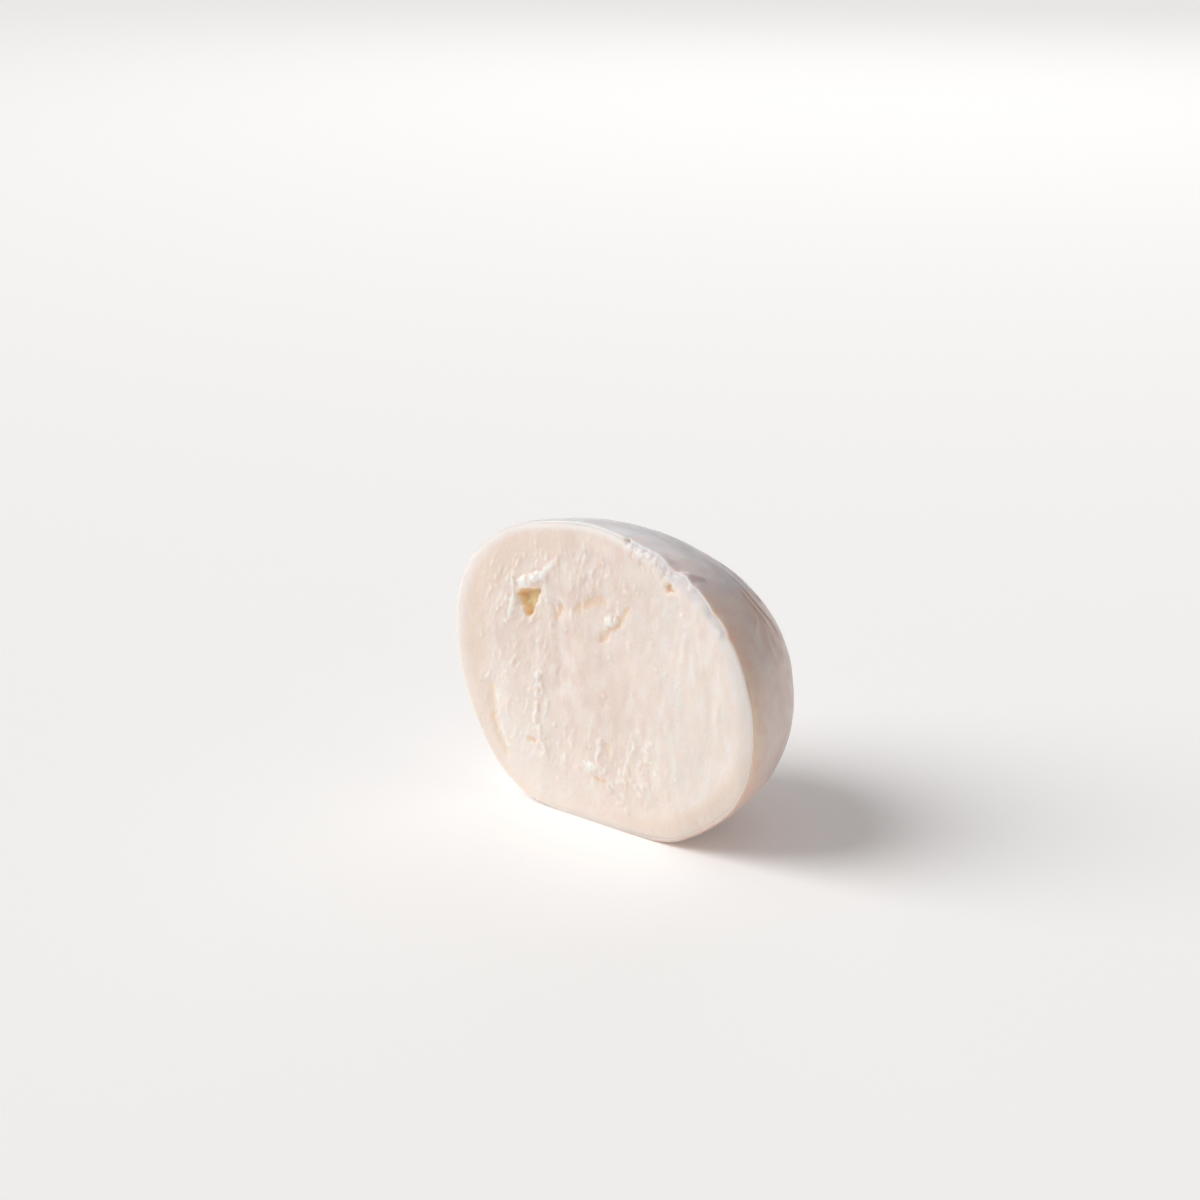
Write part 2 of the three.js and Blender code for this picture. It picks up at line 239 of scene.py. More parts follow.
# Lines on the skin: width, rise and the points each runs through, as degrees round and distance behind
SKIN_LINES = [
    # the loose flap
    (1.6, 0.5, [(52, 0.9), (49.7, 2.5), (47.8, 4.4)]),
    # fine folds along the shoulder
    (1.5, 0.17, [(48.5, 16.9), (42, 17.5), (36.5, 17.9), (31.3, 19.1), (25.8, 20.8), (20.8, 20.6)]),
    (1.4, 0.14, [(40, 15.2), (35.7, 15.6), (31.3, 15.9), (27, 16.8)]),
    (1.4, 0.14, [(57, 18.9), (50, 19.8), (43, 20.6), (37, 22.4)]),
    (1.3, 0.11, [(29.2, 12.9), (25, 9.6)]),
    # short wrinkles on the right
    (1.3, 0.1, [(16, 8.6), (13.5, 7.4), (10.5, 8.2), (9, 10)]),
    (1.3, 0.1, [(8.5, 13), (6.5, 11.8), (5, 9.6)]),
    (1.3, 0.1, [(3.7, 9.2), (1, 7.8), (-1.2, 6.4)]),
    (1.3, 0.09, [(-11, 12), (-13.5, 10.8), (-15, 9)]),
]

# Two kinds of noise shift the borders between the skin's tints: a fine stray and a slow drift
STRAY = {"size": 3.5, "octaves": 2, "start": 91}
DRIFT = {"size": 9, "octaves": 3, "start": 37}
STRAY_DEGREES = 3
# Degrees round over which the wet top begins and ends, and the reach behind over which it ends
WET = {"begin": (38, 44), "end": (120, 215), "depth": (14, 36)}
WET_DRIFT = {"end": 26, "depth": 9}
# A milky film, whose cool white and bright streaks are partly a painted sky reflection, lies on the wet top
# from these distances behind the cut on, at each number of degrees round
FILM = [(38, 8), (44, 8), (49.5, 11), (57, 8.5), (63, 6.5), (71, 5), (77, 3.5), (94, 1.5), (195, 1)]
FILM_EDGE = {"stray": 2, "width": 5}
# How far the cut's white reaches over its edge onto the skin, at each number of degrees round
SPILL = [
    (0, 0.05), (34, 0.05), (38, 0.3), (44, 0.6), (47, 0.2), (49, 1), (51, 0.8), (53, 0.05), (57, 0.05),
    (59, 1.5), (61, 2.4), (66, 2), (70, 1.2), (80, 1), (180, 0.8), (220, 0.5), (250, 0.05), (360, 0.05),
]
# Where it fades out and how far it strays, as shares of that reach
SPILL_EDGE = {"end": 1.5, "stray": 0.6, "size": 1.6, "octaves": 2, "start": 53}
TOP_SHADE = {"begin": 92, "full": 46}  # degrees round between which painted shade darkens the wet top to the right
# How much painted shade darkens the rounded edge against the cut and the skin, where light glows through it
EDGE_SHADE_AMOUNT = [1, 1, 0.4, 0, 0, 0, 0, 0, 0, 0, 0, 0, 0.3, 0.6, 1, 1]
# It fades over a width and ends at end such widths. A distance on the cut counts inward times, and one on
# the skin counts behind more.
EDGE_SHADE_SPREAD = {"width": 0.8, "end": 1.6, "inward": 1.3, "behind": 0.2}
# Painted light: a warm glow on the skin within a reach of the cut, on the right and, by these degrees, below
# the middle
PAINTED_GLOW = {"reach": 10, "below": 18, "slope": 1.2, "start": 0.25}

# How far the torn rim stands in, at each number of degrees round
NICKS = [
    (23, 0), (26, 0.35), (28.5, 0.05), (32, 0), (35, 0.5), (37.5, 0.1), (44.6, -0.2), (47, 0.1),
    (49.5, -0.35), (51.5, 0), (53.4, 0.6), (56.6, 0.4), (59, -0.1), (62, -0.35), (66, -0.2), (70, 0),
]
NICK_REACH = 3.5

# ---- Mesh ----

SKIN_COLUMNS = 496
SKIN_RINGS = 118
EDGE_RINGS = 5
CUT_COLUMNS = 880
CUT_RINGS = 128
FEWEST_COLUMNS = 8

# ---- Colours, as they show on screen, from 0 to 255 ----

CUT_TINTS = {
    "dark mottle": (235, 219, 210),
    "pale mottle": (243, 232, 225),
    "cloud": (240, 225, 213),
    # painted light: the curd is lighter low down
    "low": (243, 231, 222),
    # painted light: the curd is lighter on the right
    "right": (250, 240, 233),
    # painted light: the curd is lighter low on the left
    "lit low left": (254, 247, 242),
    "wisp": (250, 246, 242),
    "amber": (240, 224, 211),
    "upper rim": (242, 238, 235),
    "lower rim": (239, 228, 218),
    # painted shade on the rounded edge
    "edge": (209, 196, 188),
    "torn": (252, 248, 243),
    "worn": (235, 230, 229),
    # amber painted shade in pits, creases and holes
    "pit": (255, 220, 174),
}
SKIN_TINTS = {
    "dark veil": (243, 225, 217),
    "pale veil": (245, 231, 225),
    "mottle": (235, 217, 212),
    # the milky film: its cool white and bright streaks are partly a painted sky reflection
    "lit film": (242, 240, 242),
    "lit streak": (249, 248, 250),
    # shaded copies of the wet top: painted shade to the right
    "shaded film": (225, 216, 218),
    "shaded streak": (236, 229, 231),
    "lit bare": (250, 246, 246),
    "shaded bare": (240, 227, 225),
    "bare mottle": (228, 214, 212),
    # painted shade: the skin is darker on the right, behind the cut
    "right": (230, 198, 184),
    "shaded right spot": (222, 189, 177),
    # painted light: a warm glow near the cut
    "glowing": (255, 226, 205),
    "glowing spot": (255, 213, 194),
    # painted shade: the skin is darker low on the right
    "shaded low right": (218, 184, 165),
    # painted shade on the rounded edge
    "edge": (201, 185, 176),
    "spill": (231, 228, 229),
}
FLOOR_TINT = (252, 252, 252)

# ---- Finish ----

MILKY = {
    "Subsurface Weight": 1.0,
    "Subsurface Radius": (1.0, 0.78, 0.62),
    "Subsurface Scale": 2.2 * MM,
    "IOR": 1.4,
}
CUT_GLOSS = {**MILKY, "Coat Weight": 0.12, "Coat Roughness": 0.25}
SKIN_GLOSS = {**MILKY, "Subsurface Scale": 1.5 * MM, "Coat Weight": 0.3, "Coat Roughness": 0.18}
# Roughness where they are wettest, driest and torn, and the depth of their fine grain
CUT_FINISH = {"wet": 0.2, "dry": 0.6, "torn": 0.24, "grain": 0.03}
SKIN_FINISH = {"wet": 0.3, "dry": 0.45, "grain": 0.025}

# ---- Studio ----

FLOOR = {"reach": 6000, "roughness": 0.9, "glow": 0.11}
# A lamp's azimuth is 0 in front of the cut and 90 on its right
KEY = {"azimuth": -47, "elevation": 42, "distance": 1000, "softness": 50, "power": 2.36}
KEY_COLOUR = (1.0, 0.99, 0.975)
SKY_LIGHT = {"azimuth": 212, "elevation": 30, "distance": 1200, "size": 800, "power": 1.5}
SKY_COLOUR = (0.96, 0.97, 1.0)
WORLD_STRENGTH = 0.24
WORLD_COLOUR = (1.0, 0.95, 0.93, 1)

# ---- Camera, at the photo's viewing angle ----

VIEW_AZIMUTH = 41
VIEW_ELEVATION = 18.3
LENS = 86.4
CAMERA_PLACE = (352.62, -424.46, 225.23)


# ---- Form ----


def smooth_round(values, angle):
    """A smooth closed curve through values spread evenly over a full turn."""
    place = angle / TAU * len(values)
    first = np.floor(place).astype(int)
    a, b, c, d = (np.take(values, first + step, mode="wrap") for step in (-1, 0, 1, 2))
    t = place - first
    bend = (2 * a - 5 * b + 4 * c - d) * t + (3 * b - a - 3 * c + d) * t * t
    return b + 0.5 * t * (c - a + bend)


def smooth_step(value):
    """0 below 0, 1 above 1, and smooth between."""
    share = np.clip(value, 0, 1)
    return share * share * (3 - 2 * share)


def settle(height):
    """Flat on the floor below it, and blended into the sides above."""
    blended = (height + FOOT_BLEND) ** 2 / (4 * FOOT_BLEND)
    return np.where(height <= -FOOT_BLEND, 0, np.where(height >= FOOT_BLEND, height, blended))


def body_points(angle, turn):
    """Points of the outer form. turn is 0 at the cut and a quarter turn at the back's tip."""
    spread = math.cos(turn)
    radius = smooth_round(CUT_RADII, angle) * spread
    sink = FOOT_SINK * math.sin(2 * turn) * np.maximum(0, -np.sin(angle)) ** 2
    x = radius * np.cos(angle) + BACK_SLIDE * (1 - spread)
    z = CENTRE_HEIGHT + radius * np.sin(angle) - BACK_SAG * (1 - spread) - sink
    y = np.full_like(x, CUT_Y + DEPTH * math.sin(turn) ** BACK_ROUNDNESS)
    return np.stack([x, y, settle(z)], axis=1)


# ---- Marks ----


def soft_noise(points, kind):
    """Soft noise from about -1 to 1, of one of the kinds above."""
    scaled = points / np.asarray(kind["size"], float) + kind["start"]
    return np.array([noise.fractal(p, NOISE_SMOOTHNESS, NOISE_STEP, kind["octaves"]) for p in scaled])


def turned(x, z, lean):
    """Lengths along and across a lean in degrees."""
    tilt = math.radians(lean)
    return x * math.cos(tilt) + z * math.sin(tilt), z * math.cos(tilt) - x * math.sin(tilt)


def ellipse(x, z, outline, lean):
    """How far out each point lies in an ellipse: 0 in its middle and 1 on its edge."""
    middle_x, middle_z, length, width = outline
    along, across = turned(x - middle_x, z - middle_z, lean)
    return np.hypot(2 * along / length, 2 * across / width)


def crags(x, z):
    """Blobs with a sharp crest."""
    total = np.zeros_like(x)
    for *outline, rise, lean in CRAGS:
        out = np.clip(ellipse(x, z, outline, lean) / CRAG_FOOT, 0, 1)
        total = np.maximum(total, rise * (1 - out) * (1 + CRAG_BULGE * out))
    return total


def line_distance(u, v, points):
    """The distance from each place to a line through points."""
    nearest = np.full_like(u, np.inf)
    for (au, av), (bu, bv) in zip(points, points[1:]):
        run_u, run_v = bu - au, bv - av
        share = ((u - au) * run_u + (v - av) * run_v) / (run_u**2 + run_v**2)
        share = np.clip(share, 0, 1)
        nearest = np.minimum(nearest, np.hypot(u - au - share * run_u, v - av - share * run_v))
    return nearest


def lines(u, v, marks):
    """Round ridges along the marks' lines."""
    total = np.zeros_like(u)
    for width, rise, points in marks:
        total = np.maximum(total, rise * smooth_step(1 - 2 * line_distance(u, v, points) / width))
    return total


def ledges(x, z):
    """Steps whose right side stands higher, and runs out level again further on."""
    total = np.zeros_like(x)
    for rise, points in LEDGES:
        line_x, line_z = np.array(points[::-1]).T
        past = x - np.interp(z, line_z, line_x)
        step = smooth_step(past / LEDGE_SIZE["edge"]) * smooth_step(1 - past / LEDGE_SIZE["reach"])
        bottom = smooth_step((z - line_z[0]) / LEDGE_SIZE["ends"])
        top = smooth_step((line_z[-1] - z) / LEDGE_SIZE["ends"])
        total += rise * step * (bottom * top)
    return total


def holes(x, z):
    """Steep-sided holes: the eye, from the distances to its sides, and the small ones."""
    spots = np.stack([x, z, np.zeros_like(x)], axis=1)
    depth = np.zeros_like(x)
    for corners in EYE:
        share = np.ones_like(x)
        for (ax, az), (bx, bz) in zip(corners, corners[1:] + corners[:1]):
            inside = ((bx - ax) * (z - az) - (bz - az) * (x - ax)) / math.hypot(bx - ax, bz - az)
            share = share * smooth_step(inside / EYE_WALL["run"] + EYE_WALL["outside"])
        depth = np.maximum(depth, EYE_DEPTH * share)
    least = EYE_FLOOR["least"]
    higher = smooth_step((z - EYE_FLOOR["foot"]) / EYE_FLOOR["height"])
    depth *= least + (1 - least) * higher + EYE_FLOOR["uneven"] * soft_noise(spots, EYE_FLOOR)
    for *outline, hole_depth, lean in SMALL_HOLES:
        inside = SMALL_HOLE_WALL["foot"] - ellipse(x, z, outline, lean)
        depth = np.maximum(depth, hole_depth * smooth_step(SMALL_HOLE_WALL["slope"] * inside))
    return depth


def flakes(x, z):
    """Thin upright flakes, scattered by a seeded draw. Each is steep on its left side only."""
    rng = np.random.default_rng(SEED)
    total = np.zeros_like(x)
    for middle_x, middle_z, zone_width, zone_height, number, length, width, rise in FLAKES:
        for _ in range(number):
            place_x = middle_x + zone_width / 2 * rng.uniform(-1, 1)
            place_z = middle_z + zone_height / 2 * rng.uniform(-1, 1)
            share = np.clip(0.5 + place_x / FLAKE_LEAN["across"], 0, 1)
            lean = FLAKE_LEAN["left"] + (FLAKE_LEAN["right"] - FLAKE_LEAN["left"]) * share
            lean += FLAKE_LEAN["spread"] * rng.uniform(-1, 1)
            size = rng.uniform(*FLAKE_LENGTHS)
            along, across = turned(x - place_x, z - place_z, lean)
            taper = np.maximum(0, 1 - (2 * along / (size * length)) ** 2) ** 2
            side = 2 * across / width
            left = smooth_step(1 - side / FLAKE_SIDES["left"])
            right = smooth_step(1 + side / FLAKE_SIDES["right"])
            total += rise * rng.uniform(*FLAKE_RISES) * taper * (left * right)
    return total


def crumbs(x, z):
    """Round crumbs, scattered by a seeded draw."""
    rng = np.random.default_rng(SEED)
    total = np.zeros_like(x)
    for middle_x, middle_z, length, width, lean, number, size in CRUMBS:
        for _ in range(number):
            along, across = turned(x - middle_x, z - middle_z, lean)
            along = along - length / 2 * rng.uniform(-1, 1)
            across = across - width / 2 * rng.uniform(-1, 1)
            reach = size * rng.uniform(*CRUMB_SIZES)
            near = np.maximum(0, 1 - (along**2 + across**2) / reach**2)
            total = np.maximum(total, CRUMB_RISE * reach * np.sqrt(near) * np.minimum(1, CRUMB_FOOT * near))
    return total


def knife_wave(x, z):
    across = np.sin(TAU * (x + WAVE["slant"] * z) / WAVE["length"])
    up = np.cos(TAU * (z - WAVE["slant"] * x) / (WAVE["stretch"] * WAVE["length"]))
    return 0.5 * WAVE["height"] * (across + up)


def cut_relief(x, z, inward, core):
    """How far the cut stands out at each point, how much of that is torn curd, and how much painted shade its
    pits and creases get.

    inward is a point's distance from the rim, and core is 1 in the filling and 0 in the wall.
    """
    spots = np.stack([x, z, np.zeros_like(x)], axis=1)
    stray_x = x + RAGGED["reach"] * soft_noise(spots, RAGGED_X)
    stray_z = z + RAGGED["reach"] * soft_noise(spots, RAGGED_Z)
    along, across = turned(stray_x, stray_z, CURD_LEAN)
    leaning = np.stack([across, along, np.zeros_like(x)], axis=1)
    patch = PATCH_STRENGTH["middle"] + soft_noise(spots, PATCHES) - x / PATCH_STRENGTH["fade"]
    patch = np.clip(patch, PATCH_STRENGTH["least"], PATCH_STRENGTH["most"])
    inside = RIM_SHARE + (1 - RIM_SHARE) * smooth_step(inward / WALL[0])
    fibres = 1 - 2 * np.abs(soft_noise(leaning, FIBRES))

    crag = crags(stray_x, stray_z) + lines(stray_x, stray_z, THREADS)
    flake = flakes(0.5 * (x + stray_x), 0.5 * (z + stray_z)) * inside
    crumb = crumbs(x, z)
    crease = lines(stray_x, stray_z, CREASES)
    hole = holes(stray_x, stray_z)
    # nothing stands up where a hole is more than half as deep as the eye
    filled = 1 - smooth_step(hole / EYE_DEPTH * 2)

    surface = knife_wave(x, z) + core * SWELL["height"] + ledges(stray_x, z)
    curd = CURD["height"] * soft_noise(leaning, CURD) * patch * inside
    surface += curd + GRAIN["height"] * soft_noise(spots, GRAIN)
    surface += LUMPS["height"] * soft_noise(leaning, LUMPS)
    surface += filled * (crag * (CRAG_SHARES["whole"] + CRAG_SHARES["fibrous"] * fibres) + flake + crumb)
    white = TORN_TINT["crag"] * crag * (0.5 + 0.5 * fibres)
    white += TORN_TINT["crumb"] * crumb
    white += TORN_TINT["flake"] * flake
    off_rim = smooth_step(inward / PIT_SHADE_EDGES["fade"] - PIT_SHADE_EDGES["clear"])
    # amber painted shade in creases and holes, kept off the rim
    pit = np.clip(crease / CREASE_SHADE_DEPTH + hole, 0, 1) * off_rim
    return surface - crease - hole, filled * np.clip(white, 0, 1), pit


def skin_relief(points, angle, behind):
    """How far the skin stands out of the smooth form. behind is a point's distance behind the cut."""
    swell = SKIN_SWELLS["height"] * soft_noise(points, SKIN_SWELLS)
    pucker = SKIN_PUCKERS["height"] * soft_noise(points, SKIN_PUCKERS)
    streak = SKIN_STREAKS["height"] * streaks(angle, behind, SKIN_STREAKS)
    folds = []
    for width, rise, places in SKIN_LINES:
        folds.append((width, rise, [(math.radians(degrees) * ROUND, reach) for degrees, reach in places]))
    off_floor = smooth_step(points[:, 2] / LOWEST_FOLDS - FLAT_FOOT)
    off_cut = smooth_step((behind - EDGE_ROUND) / SKIN_START)
    return off_floor * off_cut * (swell + pucker + streak + lines(angle * ROUND, behind, folds))


def streaks(angle, behind, kind):
    """Noise drawn out round the skin, along its edge."""
    reach = ROUND / kind["length"]
    spots = np.stack([reach * np.cos(angle), reach * np.sin(angle), behind / kind["width"]], axis=1)
    return soft_noise(spots, kind)


# ---- Rings of points ----


def ring_angles(count):
    return TAU * np.arange(count) / count


def band(first, count, next_first, next_count):
    """The triangles between two rings of any number of points, or between a ring and a tip."""
    faces = []
    i = j = 0
    while i < count or j < next_count:
        corner = first + i % count
        next_corner = next_first + j % next_count
        if (i + 1) / count <= (j + 1) / next_count:
            i += 1
            if count > 1:
                faces.append((corner, first + i % count, next_corner))
        else:
            j += 1
            if next_count > 1:
                faces.append((corner, next_first + j % next_count, next_corner))
    return faces


def skin_rings():
    """From the back's tip to just short of the cut: the points' places and angles."""
    rings, angles = [body_points(np.zeros(1), TAU / 4)], [np.zeros(1)]
    for i in range(1, SKIN_RINGS):
        turn = TAU / 4 * (1 - i / SKIN_RINGS)
        angle = ring_angles(max(FEWEST_COLUMNS, round(SKIN_COLUMNS * math.cos(turn))))
        ring = body_points(angle, turn)
        if ring[0, 1] > CUT_Y + EDGE_ROUND:
            rings.append(ring)
            angles.append(angle)
    return rings, angles


def edge_rings():
    """The small rounding where the skin meets the cut."""
    angle = ring_angles(CUT_COLUMNS)
    rim = body_points(angle, 0)
    middle = np.array([0, CUT_Y, CENTRE_HEIGHT])
    inward = (middle - rim) / np.linalg.norm(middle - rim, axis=1, keepdims=True)
    rings = []
    for i in range(EDGE_RINGS):
        bend = TAU / 4 * i / EDGE_RINGS
        ring = rim + EDGE_ROUND * (1 - math.cos(bend)) * inward
        ring[:, 1] = CUT_Y + EDGE_ROUND * (1 - math.sin(bend))
        rings.append(ring)
    return rings, [angle] * EDGE_RINGS


def cut_rings():
    """The cut, from its rim to its middle: the points' places, angles and distances from the rim."""
    middle = np.array([0, CUT_Y, CENTRE_HEIGHT])
    rings, angles, inwards = [], [], []
    for i in range(CUT_RINGS + 1):
        share = i / CUT_RINGS
        count = max(FEWEST_COLUMNS, round(CUT_COLUMNS * (1 - share))) if i < CUT_RINGS else 1
        angle = ring_angles(count)
        rim = body_points(angle, 0)
        reach = np.linalg.norm(middle - rim, axis=1)
        inward = EDGE_ROUND + (reach - EDGE_ROUND) * share
        rings.append(rim + (middle - rim) * (inward / reach)[:, None])
        angles.append(angle)
        inwards.append(inward)
    return rings, angles, inwards


# ---- The rim ----


def worn_rim(angle, inward, points):
    """1 at the rim where it is worn away, and 0 further in."""
    width = np.maximum(WORN_LEAST, smooth_round(WORN, angle))
    stray = WORN_STRAY["share"] * width * soft_noise(points, WORN_STRAY)
    return smooth_step(width - WORN_LEAST) * smooth_step(1 - (inward - EDGE_ROUND + stray) / width)


def rolled_rim(angle, inward):
    """How far the rim lies back where it rolls off."""
    width = np.maximum(ROLL_LEAST, smooth_round(ROLL, angle))
    return ROLL_SLOPE * width * np.clip(1 - (inward - EDGE_ROUND) / width, 0, 1) ** 2


def torn_rim(angle, inward, behind):
    """How far points move inward from the rim where it is torn."""
    nick = np.interp(np.degrees(angle), *np.array(NICKS).T)
    return nick * smooth_step(1 - inward / NICK_REACH) * smooth_step(1 - behind / NICK_REACH)


# ---- The places of tints, for the materials ----


def cut_masks(angle, inward):
    """Where the cut is amber and where it has its paler rim."""
    reach = smooth_round(AMBER_REACH, angle)
    amber = smooth_step((inward - AMBER_EDGES["clear"]) / AMBER_EDGES["rise"])
    amber *= smooth_step((reach - inward) / (AMBER_EDGES["fall"] * reach))
    amber *= np.clip(smooth_round(AMBER, angle), 0, 1)
    rim = smooth_step(1 - (inward - EDGE_ROUND) / smooth_round(RIM, angle))
    return {"amber": amber, "rim": rim}


def skin_masks(points, angle, behind):
    """Where the skin is wet and milky, where painted shade darkens the wet top, where a painted warm glow
    lies on it, and where the cut's white spills over it.
    """
    stray = soft_noise(points, STRAY)
    drift = soft_noise(points, DRIFT)
    degrees = np.degrees(angle) + STRAY_DEGREES * stray
    begin, full = WET["begin"]
    fading, end = WET["end"]
    sinking, deepest = WET["depth"]
    wet = smooth_step((degrees - begin) / (full - begin))
    wet = wet * smooth_step((end - degrees + WET_DRIFT["end"] * drift) / (end - fading))
    wet = wet * smooth_step((deepest - behind + WET_DRIFT["depth"] * drift) / (deepest - sinking))
    past = behind + FILM_EDGE["stray"] * stray - np.interp(degrees, *np.array(FILM).T)
    spill = np.interp(np.degrees(angle), *np.array(SPILL).T)
    spill_stray = SPILL_EDGE["stray"] * spill * soft_noise(points, SPILL_EDGE)
    side = np.cos(angle + math.radians(PAINTED_GLOW["below"]))
    return {
        "wet": wet,
        "film": smooth_step(0.5 + past / FILM_EDGE["width"]),
        "streak": streaks(angle, behind, FILM_STREAKS),
        "spill": smooth_step(SPILL_EDGE["end"] - (behind + spill_stray) / spill),
        "shaded": smooth_step((TOP_SHADE["begin"] - degrees) / (TOP_SHADE["begin"] - TOP_SHADE["full"])),
        "glowing": smooth_step(1 - behind / PAINTED_GLOW["reach"]) * smooth_step(side * PAINTED_GLOW["slope"] - PAINTED_GLOW["start"]),
        "behind": behind,
    }


def edge_shade_mask(angle, inward, behind):
    """Where painted shade darkens the rounded edge, on both its sides."""
    off_edge = np.maximum(EDGE_SHADE_SPREAD["inward"] * inward, behind + EDGE_SHADE_SPREAD["behind"])
    return smooth_round(EDGE_SHADE_AMOUNT, angle) * smooth_step(EDGE_SHADE_SPREAD["end"] - off_edge / EDGE_SHADE_SPREAD["width"])


# ---- The body ----


def join_rows(rows):
    """The triangles between all the rows, whose points follow one another."""
    faces = []
    first = 0
    for row, next_row in zip(rows, rows[1:]):
        faces += band(first, len(row), first + len(row), len(next_row))
        first += len(row)
    return faces


def part_masks(masks, part, count):
    """Masks of one part of count points, with 0 at all the others."""
    whole = {name: np.zeros(count) for name in masks}
    for name, values in masks.items():
        whole[name][part] = values
    return whole


def raise_relief(points, normals, angle, inward, behind, edge_start, cut_start):
    """Moves the points by the relief of the skin and of the cut. Gives the masks that come with it."""
    skin, cut = slice(edge_start), slice(cut_start, None)
    lift = skin_relief(points[skin], angle[skin], behind[skin])
    core = smooth_step((inward[cut] - smooth_round(WALL, angle[cut])) / SWELL["width"])
    worn = worn_rim(angle, inward, points)
    relief, torn, pit = cut_relief(points[cut, 0], points[cut, 2], inward[cut], core)
    relief -= WORN_DEPTH * worn[cut] ** 2 + rolled_rim(angle[cut], inward[cut])
    points[skin] += normals[skin] * lift[:, None]
    points[cut, 1] -= relief
    # the rounding follows the rim, so that the relief has no step there
    for i in range(EDGE_RINGS):
        start = edge_start + i * CUT_COLUMNS
        points[start : start + CUT_COLUMNS, 1] -= relief[:CUT_COLUMNS] * i / EDGE_RINGS
    return {"worn": worn, **part_masks({"torn": torn, "pit": pit}, cut, len(points))}


def make_body():
    """One closed mesh: the skin from the back's tip, the rounded edge, and the cut to its middle."""
    skin, skin_angles = skin_rings()
    edge, edge_angles = edge_rings()
    cut, cut_angles, inwards = cut_rings()
    rows = [*skin, *edge, *cut]
    edge_start = sum(len(ring) for ring in skin)
    cut_start = edge_start + EDGE_RINGS * CUT_COLUMNS
    points = np.concatenate(rows)
    angle = np.concatenate([*skin_angles, *edge_angles, *cut_angles])
    inward = np.concatenate([np.zeros(cut_start), *inwards])
    behind = points[:, 1] - CUT_Y
    faces = join_rows(rows)

    mesh = bpy.data.meshes.new("burrata_half")
    mesh.from_pydata((points * MM).tolist(), [], faces)
    normals = np.zeros(points.size, np.float32)
    mesh.vertices.foreach_get("normal", normals)
    masks = raise_relief(points, normals.reshape(-1, 3), angle, inward, behind, edge_start, cut_start)
    outside, face = slice(cut_start), slice(cut_start, None)
    masks |= part_masks(skin_masks(points[outside], angle[outside], behind[outside]), outside, len(points))
    masks |= part_masks(cut_masks(angle[face], inward[face]), face, len(points))
    # where painted shade darkens the rounded edge
    masks["edge"] = edge_shade_mask(angle, inward, behind)
    shift = torn_rim(angle, inward, behind)
    points[:, 0] -= shift * np.cos(angle)
    points[:, 2] -= shift * np.sin(angle)

    mesh.vertices.foreach_set("co", (points * MM).ravel())
    mesh.update()
    for name, values in masks.items():
        layer = mesh.attributes.new(name, "FLOAT", "POINT")
        layer.data.foreach_set("value", values.astype(np.float32))
    material = np.where(np.array(faces).max(axis=1) < cut_start, 1, 0)
    mesh.polygons.foreach_set("material_index", material.astype(np.int32))
    mesh.polygons.foreach_set("use_smooth", np.ones(len(faces), bool))
    body = bpy.data.objects.new("burrata_half", mesh)
    bpy.context.scene.collection.objects.link(body)
    return body


# ---- Materials ----


def linear(red, green, blue):
    """A colour given as it shows on screen, from 0 to 255."""
    shares = [c / 255 for c in (red, green, blue)]
    return (*[s / 12.92 if s <= 0.04045 else ((s + 0.055) / 1.055) ** 2.4 for s in shares], 1)


class Look:
    """A material and short ways to add its nodes."""

    def __init__(self, name):
        self.material = bpy.data.materials.new(name)
        self.material.use_nodes = True
        self.tree = self.material.node_tree
        self.shader = self.tree.nodes["Principled BSDF"]

    def add(self, kind, inputs=None, **settings):
        made = self.tree.nodes.new(kind)
        for name, value in settings.items():
            setattr(made, name, value)
        for socket, value in (inputs or {}).items():
            if isinstance(value, bpy.types.NodeSocket):
                self.tree.links.new(value, made.inputs[socket])
            else:
                made.inputs[socket].default_value = value
        return made

    def place(self):
        """Where each point lies, in metres."""
        return self.add("ShaderNodeTexCoord").outputs["Object"]

    def mask(self, name):
        return self.add("ShaderNodeAttribute", attribute_name=name).outputs["Fac"]

    def noise(self, size_mm, stretch=(1, 1, 1), detail=3, seed=0.0):
        """Noise from 0 to 1 with spots of about size_mm, drawn out by stretch."""
        scale = [1 / s for s in stretch]
        mapping = {"Vector": self.place(), "Location": [seed] * 3, "Scale": scale}
        spots = self.add("ShaderNodeMapping", mapping).outputs["Vector"]
        texture = {"Vector": spots, "Scale": 1 / (size_mm * MM), "Detail": detail}
        return self.add("ShaderNodeTexNoise", texture).outputs["Fac"]

    def fade(self, value, low, high, most=1.0):
        """0 where value is low, most where it is high, and smooth between."""
        made = self.add(
            "ShaderNodeMapRange",
            {"Value": value, "From Min": low, "From Max": high, "To Max": most},
            interpolation_type="SMOOTHSTEP",
        )
        return made.outputs["Result"]

    def along(self, axis, start, end, most=1.0):
        """0 up to start along an axis, most from end on, and smooth between, in millimetres."""
        place = self.add("ShaderNodeSeparateXYZ", {"Vector": self.place()}).outputs[axis]
        return self.fade(place, start * MM, end * MM, most)

    def times(self, a, b):
        return self.add("ShaderNodeMath", {0: a, 1: b}, operation="MULTIPLY").outputs["Value"]

    def mix(self, factor, a, b):
        """Between two colours, which are the node's sockets 6 and 7, and its output 2."""
        made = self.add("ShaderNodeMix", {0: factor, 6: a, 7: b}, data_type="RGBA")
        return made.outputs[2]

    def mix_value(self, factor, a, b):
        """Between two numbers, which are the node's sockets 2 and 3, and its output 0."""
        made = self.add("ShaderNodeMix", {0: factor, 2: a, 3: b}, data_type="FLOAT")
        return made.outputs[0]

    def bump(self, height, distance_mm):
        return self.add("ShaderNodeBump", {"Height": height, "Distance": distance_mm * MM}).outputs["Normal"]

    def finish(self, links, constants):
        for socket, value in links.items():
            self.tree.links.new(value, self.shader.inputs[socket])
        for socket, value in constants.items():
            self.shader.inputs[socket].default_value = value
        return self.material


